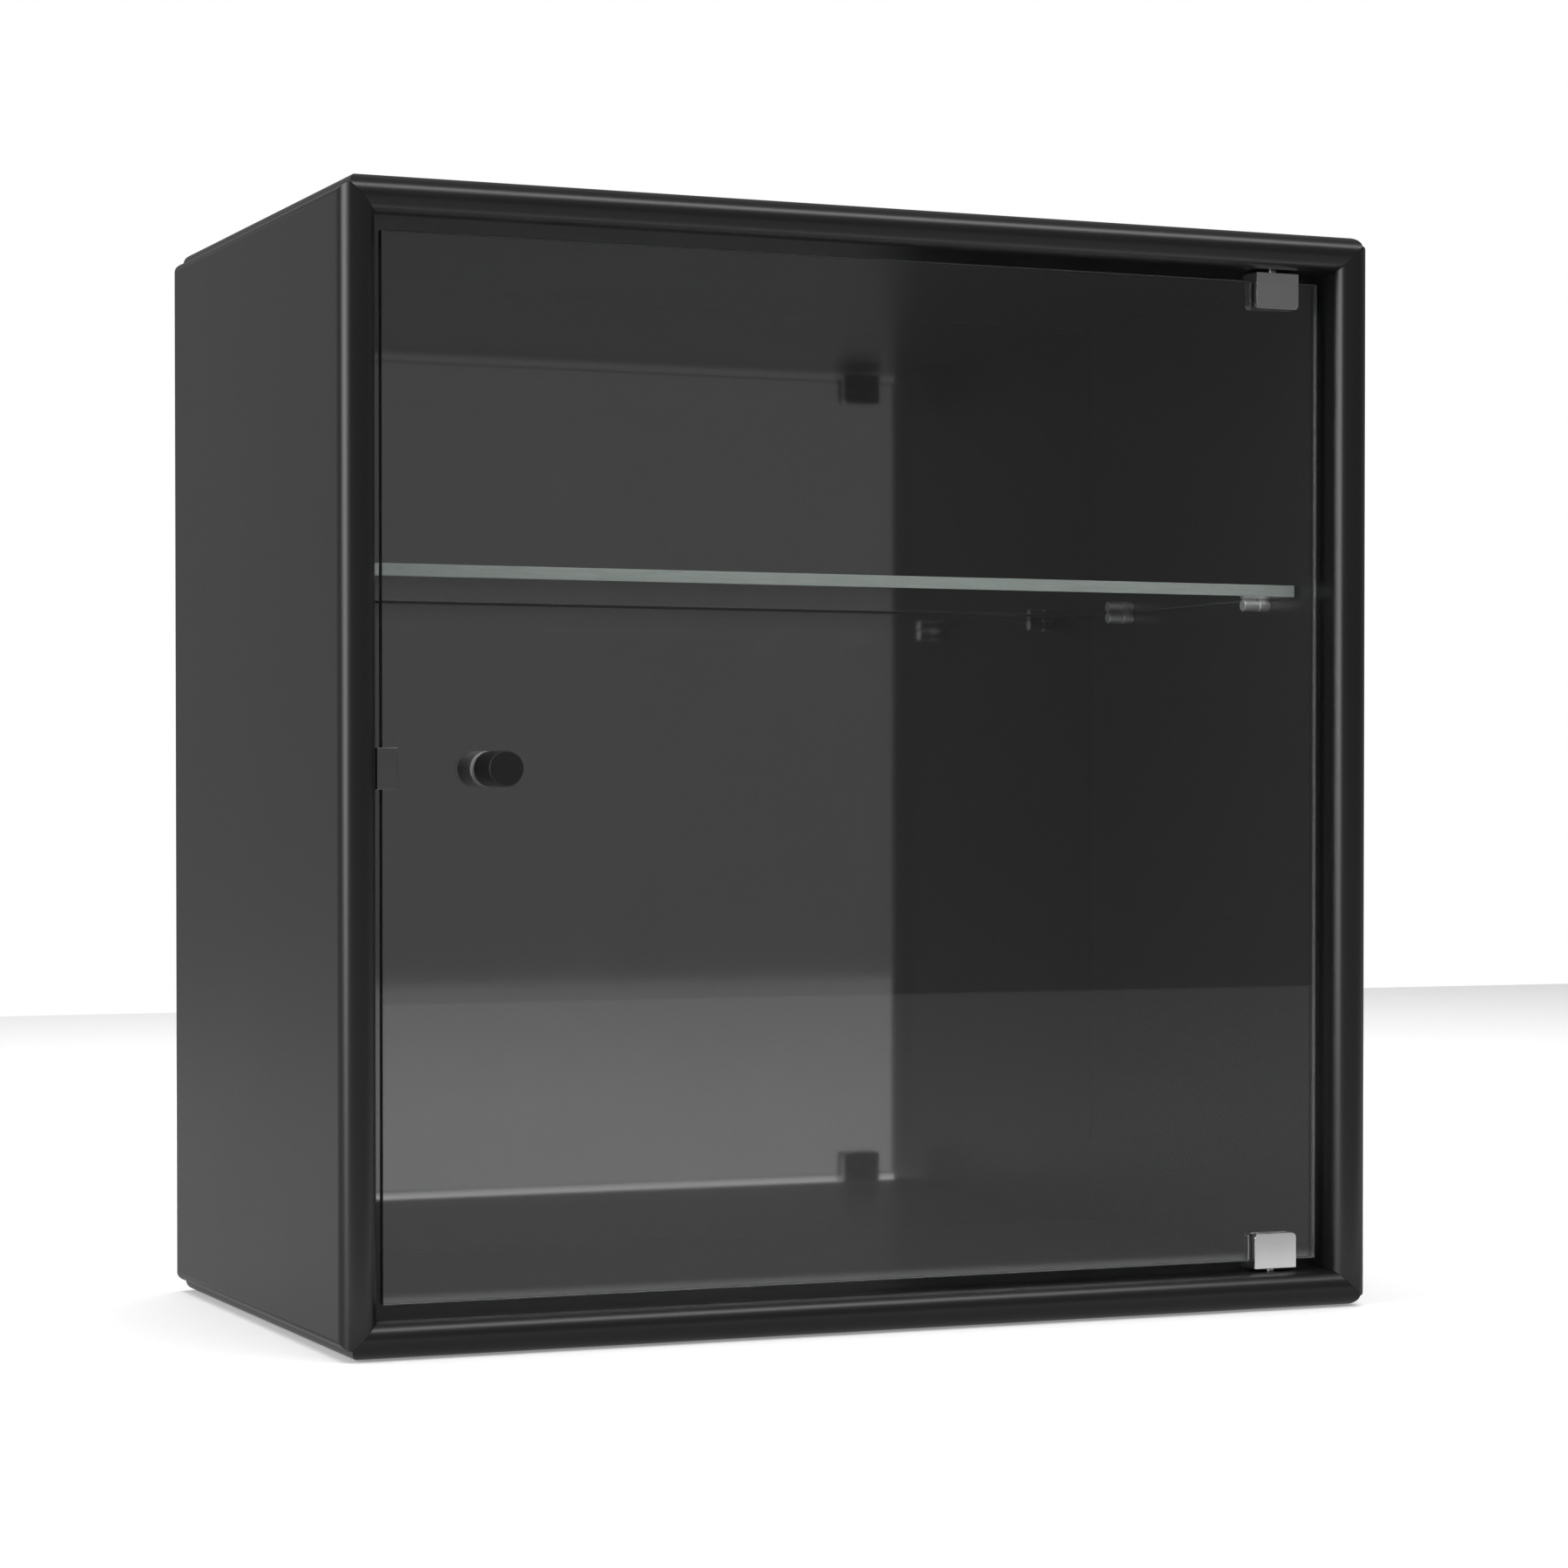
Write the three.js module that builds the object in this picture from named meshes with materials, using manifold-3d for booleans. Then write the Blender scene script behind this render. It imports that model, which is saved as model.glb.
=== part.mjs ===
// Square wall display cabinet with an inset glass door on pivot hinges and one glass shelf.
// Millimetres. +Z is up and the door faces -Y.
// The origin is the centre of the bottom panel's underside.
import * as THREE from 'three';
import { mergeVertices } from 'three/addons/utils/BufferGeometryUtils.js';
import Module from 'manifold-3d';

const wasm = await Module();
wasm.setup();

// ---------------------------------------------------------------- driving dimensions
// Carcase: four boards mitred at the corners, with half-round front edges.
const width = 450;
const height = 450;
const depth = 250;
const boardThickness = 15;
const cornerRound = 4; // each board's outer corner, which leaves a small valley at the joint
const glueLine = 0.1; // between two mitre faces

// Back panel, held in a groove round the carcase.
const backThickness = 5;
const rearRecess = 17; // rear edges to the back panel, room for the wall hooks
const grooveDepth = 6;
const grooveClearance = 0.3;

// Loose splines that key the mitres.
const splineThickness = 3;
const splineWidth = 8;
const splineInset = 6; // inner corner to the spline's middle, along the mitre
const splineFrontSetback = 25;
const splineRearSetback = 15; // from the back panel's groove
const splineClearance = 0.3;

// Glass door.
const doorThickness = 4;
const doorSetback = 12; // carcase front to the glass
const doorGap = 4.5; // glass edge to the boards, all round

// Pivot hinge clamps at the door's top and bottom edge.
const clampWidth = 20;
const clampHeight = 15;
const clampFrontPlate = 2.3;
const clampBackPlate = 4.2;
const clampGap = 1.2; // clamp to the board
const clampRound = 2;
const linerThickness = 0.5; // soft liner between glass and metal
const linerTrim = 0.3; // liner short of the metal's edges
const pivotInset = 25.2; // side board to the pivot axis
const pivotRadius = 2;
const pivotClearance = 0.1;
const pivotReach = 8; // into the bush
const pivotRootWall = 0.8; // metal between the pin's hole and the glass slot
const bushRadius = 3.5;
const bushFloor = 1;
const fitClearance = 0.15; // between a pressed or screwed piece and its hole
const grubRadius = 2;
const grubSpacing = 10;
const grubSink = 0.3; // below the clamp's back face
const grubTipGap = 0.3; // to the liner's side of the back plate
const grubSocketRadius = 1.1;
const grubSocketDepth = 1.6;

// Knob: an outer and an inner half on one threaded stud.
const knobRadius = 7;
const knobLength = 18.8;
const innerKnobLength = 16.5;
const knobChamfer = 0.4;
const knobInset = 43.5; // glass edge to the knob's centre
const gasketRadius = 5.5;
const gasketThickness = 0.5;
const studRadius = 2;
const studReach = 9; // into each half
const studTipRoom = 1; // each half's hole beyond the stud
const sleeveWall = 0.8; // round the stud, in the glass
const sleeveTrim = 0.1; // short of the glass faces

// Strike clip on the door's free edge, and the magnetic catch behind it.
const clipHeight = 16;
const clipReach = 6; // over the glass
const clipLeg = 0.8;
const clipWeb = 2;
const catchWidth = 10;
const catchLength = 22;
const catchHeight = 15;
const catchGap = 0.3; // strike to the poles at rest
const magnetSize = { x: 6.4, y: 11, z: 6 };
const poleThickness = 1.2;
const poleProud = 1; // poles in front of the catch body
const catchScrewSpacing = 8;
const catchScrewInset = 4; // from the catch's rear end
const catchScrewFloor = 3; // catch body left under the screw heads
const woodScrewRadius = 1.5;
const woodScrewHeadRadius = 2.8;
const woodScrewHeadHeight = 1.6;
const woodScrewLength = 9.6;
const woodScrewTipRoom = 0.4; // the board's hole beyond the screw
const woodScrewHeadRim = 0.3;
const woodScrewPoint = 2; // length of the cone at the end
const woodScrewPointRadius = 0.3;
const woodScrewSocketRadius = 1.1;
const woodScrewSocketDepth = 1.2;

// Shelf and the pins that it lies on.
const shelfThickness = 5;
const shelfUnderside = 300;
const shelfSideGap = 1.5;
const shelfRearGap = 12;
const shelfDoorClearance = 2; // to the door's inner edge as it swings
const shelfPinRadius = 2.5;
const shelfPinLength = 12.5; // out of the board
const shelfPinRoot = 9; // into the board
const shelfPinSpacing = 125;
const shelfPinGroove = 4.8; // board to the ring groove
const shelfPinGrooveWidth = 0.9;
const shelfPinGrooveDepth = 0.6;
const shelfPinChamfer = 0.4;

// Wall hanging brackets in the rear recess.
const bracketThickness = 2;
const bracketWidth = 32;
const bracketHeight = 44;
const bracketTopGap = 12; // to the top board
const bracketBackGap = 1; // to the back panel
const keyholeRadius = 4.5;
const keyslotRadius = 2.5;
const keyslotRise = 9;
const bracketScrewSpacing = 26;

// Facets and cuts.
const fineSides = 32;
const roundSides = 24;
const smallSides = 16;
const boreSides = 12;
const hexagon = 6;
const noseSteps = 14; // half circle
const cornerSteps = 6; // quarter circle
const cutPast = 1; // how far a cutting tool reaches beyond the face that it cuts

// ---------------------------------------------------------------- worked-out places
const front = -depth / 2;
const rear = depth / 2;
const sideInner = width / 2 - boardThickness;
const floorTop = boardThickness;
const ceiling = height - boardThickness;
const middle = height / 2;

const backRear = rear - rearRecess;
const backFront = backRear - backThickness;

const doorFront = front + doorSetback;
const doorBack = doorFront + doorThickness;
const doorEdge = sideInner - doorGap; // half the glass's width
const doorBottom = floorTop + doorGap;
const doorTop = ceiling - doorGap;

const pivotX = sideInner - pivotInset;
const pivotY = (doorFront + doorBack) / 2;
const clampFront = doorFront - linerThickness - clampFrontPlate;
const clampBack = doorBack + linerThickness + clampBackPlate;
const clampWeb = doorGap - clampGap - linerThickness;
const pivotRoot = clampWeb - pivotRootWall;
const grubLength = clampBackPlate - grubSink - grubTipGap;
const bushDepth = pivotReach + bushFloor;

const stubReach = Math.hypot(doorEdge - pivotX, doorThickness / 2);
const shelfFront = pivotY + stubReach + shelfDoorClearance;
const shelfBack = backFront - shelfRearGap;
const shelfEdge = sideInner - shelfSideGap;
const shelfPinHeight = shelfUnderside - shelfPinRadius;

const knobX = -doorEdge + knobInset;
const knobBase = doorFront - gasketThickness;
const innerKnobBase = doorBack + gasketThickness;

const clipOuter = -doorEdge - linerThickness - clipWeb;
const clipInner = -doorEdge + clipReach;
const clipFront = doorFront - linerThickness - clipLeg;
const clipBack = doorBack + linerThickness + clipLeg;

const poleFront = clipBack + catchGap;
const catchFront = poleFront + poleProud;
const catchBack = catchFront + catchLength;
const catchCentreX = -sideInner + catchWidth / 2;
const catchScrewY = catchBack - catchScrewInset;
const catchScrewSeat = -sideInner + catchScrewFloor;
const catchScrewPlaces = [-1, 1].map((hand) => ({
  y: catchScrewY,
  z: middle + hand * catchScrewSpacing / 2,
}));

const shelfPinPlaces = [-shelfPinSpacing / 2, shelfPinSpacing / 2];

const bracketTop = ceiling - bracketTopGap;
const bracketMiddle = bracketTop - bracketHeight / 2;
const bracketScrewPlaces = [-1, 1].map((hand) => ({
  y: (backRear + rear - bracketThickness) / 2,
  z: bracketMiddle + hand * bracketScrewSpacing / 2,
}));

// ---------------------------------------------------------------- materials
const finish = {
  lacquer: new THREE.MeshStandardMaterial({ color: 0x1c1d1e, roughness: 0.42 }),
  plywood: new THREE.MeshStandardMaterial({ color: 0xb08a5c, roughness: 0.8 }),
  glass: new THREE.MeshStandardMaterial({
    color: 0xb9d0c6,
    roughness: 0.03,
    transparent: true,
    opacity: 0.3,
  }),
  satinMetal: new THREE.MeshStandardMaterial({ color: 0xb6bab8, roughness: 0.35, metalness: 1 }),
  darkMetal: new THREE.MeshStandardMaterial({ color: 0x2b2b2c, roughness: 0.4, metalness: 0.6 }),
  steel: new THREE.MeshStandardMaterial({ color: 0x9a9c9e, roughness: 0.3, metalness: 1 }),
  nylon: new THREE.MeshStandardMaterial({ color: 0x1a1a1a, roughness: 0.6 }),
  clearSoft: new THREE.MeshStandardMaterial({ color: 0x565a59, roughness: 0.6 }),
  ferrite: new THREE.MeshStandardMaterial({ color: 0x3a3633, roughness: 0.7 }),
};

// ---------------------------------------------------------------- solids and shapes
// Turns a closed three.js geometry into a solid that can be cut and joined.
function solid(geometry) {
  const bare = new THREE.BufferGeometry();
  bare.setAttribute('position', geometry.getAttribute('position'));
  bare.setIndex(geometry.index);
  const merged = mergeVertices(bare, 1e-4);
  return new wasm.Manifold(new wasm.Mesh({
    numProp: 3,
    vertProperties: merged.attributes.position.array,
    triVerts: new Uint32Array(merged.index.array),
  }));
}

function cut(body, ...tools) {
  return tools.reduce((left, tool) => left.subtract(solid(tool)), body);
}

function node(name, body, material) {
  const mesh = body.getMesh();
  const geometry = new THREE.BufferGeometry();
  geometry.setAttribute('position', new THREE.BufferAttribute(mesh.vertProperties, 3));
  geometry.setIndex(new THREE.BufferAttribute(mesh.triVerts, 1));
  geometry.computeVertexNormals();
  const made = new THREE.Mesh(geometry, material);
  made.name = name;
  return made;
}

// A box between two corners.
function block([x0, y0, z0], [x1, y1, z1]) {
  return new THREE.BoxGeometry(x1 - x0, y1 - y0, z1 - z0)
    .translate((x0 + x1) / 2, (y0 + y1) / 2, (z0 + z1) / 2);
}

// Lays a geometry made along +Y over to the axis asked for.
function along(axis, geometry) {
  if (axis === 'x') return geometry.rotateZ(-Math.PI / 2);
  if (axis === 'z') return geometry.rotateX(Math.PI / 2);
  return geometry;
}

// A round bar, or a prism with few sides, between two places on its axis.
function bar(axis, radius, from, to, centre, sides = roundSides) {
  const length = to - from;
  const lift = { x: [length / 2, 0, 0], y: [0, length / 2, 0], z: [0, 0, length / 2] }[axis];
  const start = { ...centre, [axis]: from };
  return along(axis, new THREE.CylinderGeometry(radius, radius, length, sides))
    .translate(...lift)
    .translate(start.x, start.y, start.z);
}

// A turned piece: the profile's points are [radius, distance] from its start, and turn says how
// to point its axis.
function turned(profile, turn, [x, y, z], sides = roundSides) {
  const points = profile.map(([radius, distance]) => new THREE.Vector2(radius, distance));
  return turn(new THREE.LatheGeometry(points, sides)).translate(x, y, z);
}
const pointing = {
  left: (geometry) => geometry.rotateZ(Math.PI / 2),
  right: (geometry) => geometry.rotateZ(-Math.PI / 2),
  forward: (geometry) => geometry.rotateZ(Math.PI),
  backward: (geometry) => geometry,
};

function span(a, b) {
  return [Math.min(a, b), Math.max(a, b)];
}

// An outline in the X-Z plane, extruded from y0 to y1.
function extrudeY(shape, y0, y1) {
  const settings = { depth: y1 - y0, bevelEnabled: false, curveSegments: cornerSteps };
  return new THREE.ExtrudeGeometry(shape, settings)
    .rotateX(Math.PI / 2)
    .translate(0, y1, 0);
}

// An outline in the Y-Z plane, extruded from x0 to x1.
function extrudeX(shape, x0, x1) {
  const lay = new THREE.Matrix4().makeBasis(
    new THREE.Vector3(0, 1, 0),
    new THREE.Vector3(0, 0, 1),
    new THREE.Vector3(1, 0, 0),
  );
  const settings = { depth: x1 - x0, bevelEnabled: false, curveSegments: noseSteps };
  return new THREE.ExtrudeGeometry(shape, settings)
    .applyMatrix4(lay)
    .translate(x0, 0, 0);
}

// ---------------------------------------------------------------- carcase
// One board, lying as the top does, with its outer face at z = 0 and its length along X.
function boardBlank(length) {
  const end = length / 2;
  const glue = glueLine / Math.SQRT2;
  const outline = new THREE.Shape();
  outline.moveTo(-end + boardThickness + glue, -boardThickness);
  outline.lineTo(end - boardThickness - glue, -boardThickness);
  outline.lineTo(end - cornerRound - glue, -cornerRound);
  outline.absarc(end - 2 * cornerRound - glue, -cornerRound, cornerRound, 0, Math.PI / 2);
  outline.lineTo(-end + 2 * cornerRound + glue, 0);
  outline.absarc(-end + 2 * cornerRound + glue, -cornerRound, cornerRound, Math.PI / 2, Math.PI);

  const noseRadius = boardThickness / 2;
  const edge = new THREE.Shape();
  edge.moveTo(rear, -boardThickness);
  edge.lineTo(rear, 0);
  edge.absarc(front + noseRadius, -noseRadius, noseRadius, Math.PI / 2, Math.PI * 1.5);

  const board = solid(extrudeY(outline, front, rear))
    .intersect(solid(extrudeX(edge, -end, end)));
  const groove = block(
    [-end, backFront - grooveClearance / 2, -boardThickness - cutPast],
    [end, backRear + grooveClearance / 2, -boardThickness + grooveDepth],
  );
  const body = cut(board, groove).getMesh();
  const geometry = new THREE.BufferGeometry();
  geometry.setAttribute('position', new THREE.BufferAttribute(body.vertProperties, 3));
  geometry.setIndex(new THREE.BufferAttribute(body.triVerts, 1));
  return geometry;
}

// The spline of one corner, grown by a clearance all round when it is used to cut its slot.
// sx and sz are 1 or -1 and pick the corner.
function splineAt(sx, sz, grow) {
  const spread = splineInset / Math.SQRT2;
  const x = sx * (sideInner + spread);
  const z = middle + sz * (ceiling - middle + spread);
  const y0 = front + splineFrontSetback - grow;
  const y1 = backFront - splineRearSetback + grow;
  return new THREE.BoxGeometry(splineWidth + 2 * grow, y1 - y0, splineThickness + 2 * grow)
    .rotateY(sx * sz * Math.PI / 4)
    .translate(x, (y0 + y1) / 2, z);
}

function carcase() {
  const corners = [
    ['top_left', -1, 1],
    ['top_right', 1, 1],
    ['bottom_left', -1, -1],
    ['bottom_right', 1, -1],
  ];
  const slots = corners.map(([, sx, sz]) => splineAt(sx, sz, splineClearance));
  const bushBore = bushRadius + fitClearance;
  const pivot = { x: pivotX, y: pivotY };
  const upperBore = bar('z', bushBore, ceiling - cutPast, ceiling + bushDepth + fitClearance, pivot);
  const lowerBore = bar('z', bushBore, floorTop - bushDepth - fitClearance, floorTop + cutPast, pivot);
  const pinBore = shelfPinRadius + fitClearance;
  const pinEnd = sideInner + shelfPinRoot + fitClearance;
  const pinBores = (side) => shelfPinPlaces.map((y) => bar(
    'x',
    pinBore,
    ...span(side * pinEnd, side * (sideInner - cutPast)),
    { y, z: shelfPinHeight },
  ));
  const screwBores = (side, places, reach) => places.map(({ y, z }) => bar(
    'x',
    woodScrewRadius + fitClearance,
    ...span(side * (sideInner + reach + woodScrewTipRoom), side * (sideInner - cutPast)),
    { y, z },
    boreSides,
  ));
  const bracketBores = (side) => screwBores(side, bracketScrewPlaces, woodScrewLength - bracketThickness);
  const catchScrewReach = woodScrewLength - woodScrewHeadHeight - catchScrewFloor;
  const catchBores = screwBores(-1, catchScrewPlaces, catchScrewReach);

  const top = solid(boardBlank(width).translate(0, 0, height));
  const bottom = solid(boardBlank(width).rotateY(Math.PI));
  const right = solid(boardBlank(height).rotateY(Math.PI / 2).translate(width / 2, 0, middle));
  const left = solid(boardBlank(height).rotateY(-Math.PI / 2).translate(-width / 2, 0, middle));
  const hang = grooveDepth - grooveClearance;
  const back = block(
    [-sideInner - hang, backFront, floorTop - hang],
    [sideInner + hang, backRear, ceiling + hang],
  );
  return [
    node('top_panel', cut(top, ...slots, upperBore), finish.lacquer),
    node('bottom_panel', cut(bottom, ...slots, lowerBore), finish.lacquer),
    node('left_side_panel', cut(
      left,
      ...slots,
      ...pinBores(-1),
      ...catchBores,
      ...bracketBores(-1),
    ), finish.lacquer),
    node('right_side_panel', cut(
      right,
      ...slots,
      ...pinBores(1),
      ...bracketBores(1),
    ), finish.lacquer),
    node('back_panel', solid(back), finish.lacquer),
    ...corners.map(([name, sx, sz]) => node(
      `mitre_spline_${name}`,
      solid(splineAt(sx, sz, 0)),
      finish.plywood,
    )),
  ];
}

// ---------------------------------------------------------------- screws
// A countersunk screw with a hexagon socket: its head's flat top is at the given place and its
// shank points left or right.
function woodScrew(name, side, topX, y, z) {
  const tip = woodScrewLength;
  const profile = [
    [0, 0],
    [woodScrewHeadRadius, 0],
    [woodScrewHeadRadius, woodScrewHeadRim],
    [woodScrewRadius, woodScrewHeadHeight],
    [woodScrewRadius, tip - woodScrewPoint],
    [woodScrewPointRadius, tip],
    [0, tip],
  ];
  const turn = side < 0 ? pointing.left : pointing.right;
  const body = solid(turned(profile, turn, [topX, y, z], smallSides));
  const socket = bar(
    'x',
    woodScrewSocketRadius,
    ...span(topX + side * woodScrewSocketDepth, topX - side * cutPast),
    { y, z },
    hexagon,
  );
  return node(name, cut(body, socket), finish.steel);
}

// ---------------------------------------------------------------- shelf
function shelfPin(name, side, y) {
  const start = -shelfPinRoot;
  const grooveEnd = shelfPinGroove + shelfPinGrooveWidth;
  const profile = [
    [0, start],
    [shelfPinRadius - shelfPinChamfer, start],
    [shelfPinRadius, start + shelfPinChamfer],
    [shelfPinRadius, shelfPinGroove],
    [shelfPinRadius - shelfPinGrooveDepth, shelfPinGroove],
    [shelfPinRadius - shelfPinGrooveDepth, grooveEnd],
    [shelfPinRadius, grooveEnd],
    [shelfPinRadius, shelfPinLength - shelfPinChamfer],
    [shelfPinRadius - shelfPinChamfer, shelfPinLength],
    [0, shelfPinLength],
  ];
  const turn = side < 0 ? pointing.right : pointing.left;
  const place = [side * sideInner, y, shelfPinHeight];
  return node(name, solid(turned(profile, turn, place)), finish.satinMetal);
}

function shelf() {
  const glass = block(
    [-shelfEdge, shelfFront, shelfUnderside],
    [shelfEdge, shelfBack, shelfUnderside + shelfThickness],
  );
  const [frontPin, rearPin] = shelfPinPlaces;
  return [
    node('glass_shelf', solid(glass), finish.glass),
    shelfPin('shelf_pin_front_left', -1, frontPin),
    shelfPin('shelf_pin_front_right', 1, frontPin),
    shelfPin('shelf_pin_rear_left', -1, rearPin),
    shelfPin('shelf_pin_rear_right', 1, rearPin),
  ];
}

// ---------------------------------------------------------------- door and pivot hinges
// A hinge is built for the top (side = 1) or the bottom (side = -1) of the door. edge is the
// clamp's outer end, and inward distances run from it towards the door's middle.
function hinge(place, side) {
  const edge = side > 0 ? ceiling - clampGap : floorTop + clampGap;
  const inward = (distance) => edge - side * distance;
  const half = clampWidth / 2;
  const boardFace = edge + side * clampGap;

  const outline = new THREE.Shape();
  outline.moveTo(pivotX - half, inward(0));
  outline.lineTo(pivotX - half, inward(clampHeight - clampRound));
  outline.quadraticCurveTo(
    pivotX - half, inward(clampHeight),
    pivotX - half + clampRound, inward(clampHeight),
  );
  outline.lineTo(pivotX + half - clampRound, inward(clampHeight));
  outline.quadraticCurveTo(
    pivotX + half, inward(clampHeight),
    pivotX + half, inward(clampHeight - clampRound),
  );
  outline.lineTo(pivotX + half, inward(0));
  const [slotLow, slotHigh] = span(inward(clampWeb), inward(clampHeight + cutPast));
  const slot = block(
    [pivotX - half - cutPast, doorFront - linerThickness, slotLow],
    [pivotX + half + cutPast, doorBack + linerThickness, slotHigh],
  );
  const [rootLow, rootHigh] = span(inward(-cutPast), inward(pivotRoot + fitClearance));
  const root = bar('z', pivotRadius + fitClearance, rootLow, rootHigh, { x: pivotX, y: pivotY });
  const screwZ = inward((clampHeight + clampWeb) / 2);
  const grubPlaces = [['left', pivotX - grubSpacing / 2], ['right', pivotX + grubSpacing / 2]];
  const threads = grubPlaces.map(([, x]) => bar(
    'y',
    grubRadius + fitClearance,
    doorBack,
    clampBack + cutPast,
    { x, z: screwZ },
    smallSides,
  ));
  const clamp = cut(solid(extrudeY(outline, clampFront, clampBack)), slot, root, ...threads);

  const [linerLow, linerHigh] = span(inward(clampWeb), inward(clampHeight - linerTrim));
  const [glassLow, glassHigh] = span(inward(clampWeb + linerThickness), inward(clampHeight + cutPast));
  const liner = cut(
    solid(block(
      [pivotX - half + linerTrim, doorFront - linerThickness, linerLow],
      [pivotX + half - linerTrim, doorBack + linerThickness, linerHigh],
    )),
    block([pivotX - half, doorFront, glassLow], [pivotX + half, doorBack, glassHigh]),
  );

  const [pinLow, pinHigh] = span(inward(pivotRoot), boardFace + side * (pivotReach - fitClearance));
  const pin = bar('z', pivotRadius, pinLow, pinHigh, { x: pivotX, y: pivotY }, fineSides);

  const [bushLow, bushHigh] = span(boardFace, boardFace + side * bushDepth);
  const [boreLow, boreHigh] = span(boardFace - side * cutPast, boardFace + side * pivotReach);
  const bush = cut(
    solid(bar('z', bushRadius, bushLow, bushHigh, { x: pivotX, y: pivotY })),
    bar('z', pivotRadius + pivotClearance, boreLow, boreHigh, { x: pivotX, y: pivotY }, fineSides),
  );

  const grubEnd = clampBack - grubSink;
  const grubs = grubPlaces.map(([hand, x]) => node(
    `${place}_clamp_screw_${hand}`,
    cut(
      solid(bar('y', grubRadius, grubEnd - grubLength, grubEnd, { x, z: screwZ }, smallSides)),
      bar('y', grubSocketRadius, grubEnd - grubSocketDepth, grubEnd + cutPast, { x, z: screwZ }, hexagon),
    ),
    finish.steel,
  ));
  return [
    node(`${place}_hinge_clamp`, clamp, finish.satinMetal),
    node(`${place}_hinge_liner`, liner, finish.clearSoft),
    node(`${place}_pivot_pin`, solid(pin), finish.steel),
    node(`${place}_pivot_bush`, bush, finish.nylon),
    ...grubs,
  ];
}

function doorGlass() {
  const pane = solid(block([-doorEdge, doorFront, doorBottom], [doorEdge, doorBack, doorTop]));
  const hole = bar(
    'y',
    studRadius + sleeveWall + 2 * fitClearance,
    doorFront - cutPast,
    doorBack + cutPast,
    { x: knobX, z: middle },
  );
  return node('door_glass', cut(pane, hole), finish.glass);
}

// One half of the knob, turned, with a blind hole for the stud.
function knobHalf(name, base, length, turn, material) {
  const centre = { x: knobX, z: middle };
  const profile = [
    [0, 0],
    [knobRadius, 0],
    [knobRadius, length - knobChamfer],
    [knobRadius - knobChamfer, length],
    [0, length],
  ];
  const body = solid(turned(profile, pointing[turn], [knobX, base, middle], fineSides));
  const side = turn === 'forward' ? -1 : 1;
  const [from, to] = span(base - side * cutPast, base + side * (studReach + studTipRoom));
  return node(name, cut(body, bar('y', studRadius + fitClearance, from, to, centre)), material);
}

function ring(name, radius, from, to) {
  const centre = { x: knobX, z: middle };
  const hole = bar('y', studRadius + fitClearance, from - cutPast, to + cutPast, centre);
  return node(name, cut(solid(bar('y', radius, from, to, centre)), hole), finish.nylon);
}

function knob() {
  const sleeveRadius = studRadius + fitClearance + sleeveWall;
  const stud = bar(
    'y',
    studRadius,
    knobBase - studReach,
    innerKnobBase + studReach,
    { x: knobX, z: middle },
  );
  return [
    knobHalf('knob', knobBase, knobLength, 'forward', finish.darkMetal),
    knobHalf('inner_knob', innerKnobBase, innerKnobLength, 'backward', finish.satinMetal),
    ring('knob_gasket', gasketRadius, knobBase, doorFront),
    ring('inner_knob_gasket', gasketRadius, doorBack, innerKnobBase),
    ring('knob_sleeve', sleeveRadius, doorFront + sleeveTrim, doorBack - sleeveTrim),
    node('knob_stud', solid(stud), finish.steel),
  ];
}

function strikeClip() {
  const low = middle - clipHeight / 2;
  const high = middle + clipHeight / 2;
  const linerBack = doorBack + linerThickness;
  const linerFront = doorFront - linerThickness;
  const webInner = -doorEdge - linerThickness;
  const clip = cut(
    solid(block([clipOuter, clipFront, low], [clipInner, clipBack, high])),
    block([webInner, linerFront, low - cutPast], [clipInner + cutPast, linerBack, high + cutPast]),
  );
  const liner = cut(
    solid(block(
      [webInner, linerFront, low + linerTrim],
      [clipInner - linerTrim, linerBack, high - linerTrim],
    )),
    block([-doorEdge, doorFront, low], [clipInner, doorBack, high]),
  );
  return [
    node('strike_clip', clip, finish.darkMetal),
    node('strike_clip_liner', liner, finish.clearSoft),
  ];
}

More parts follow.
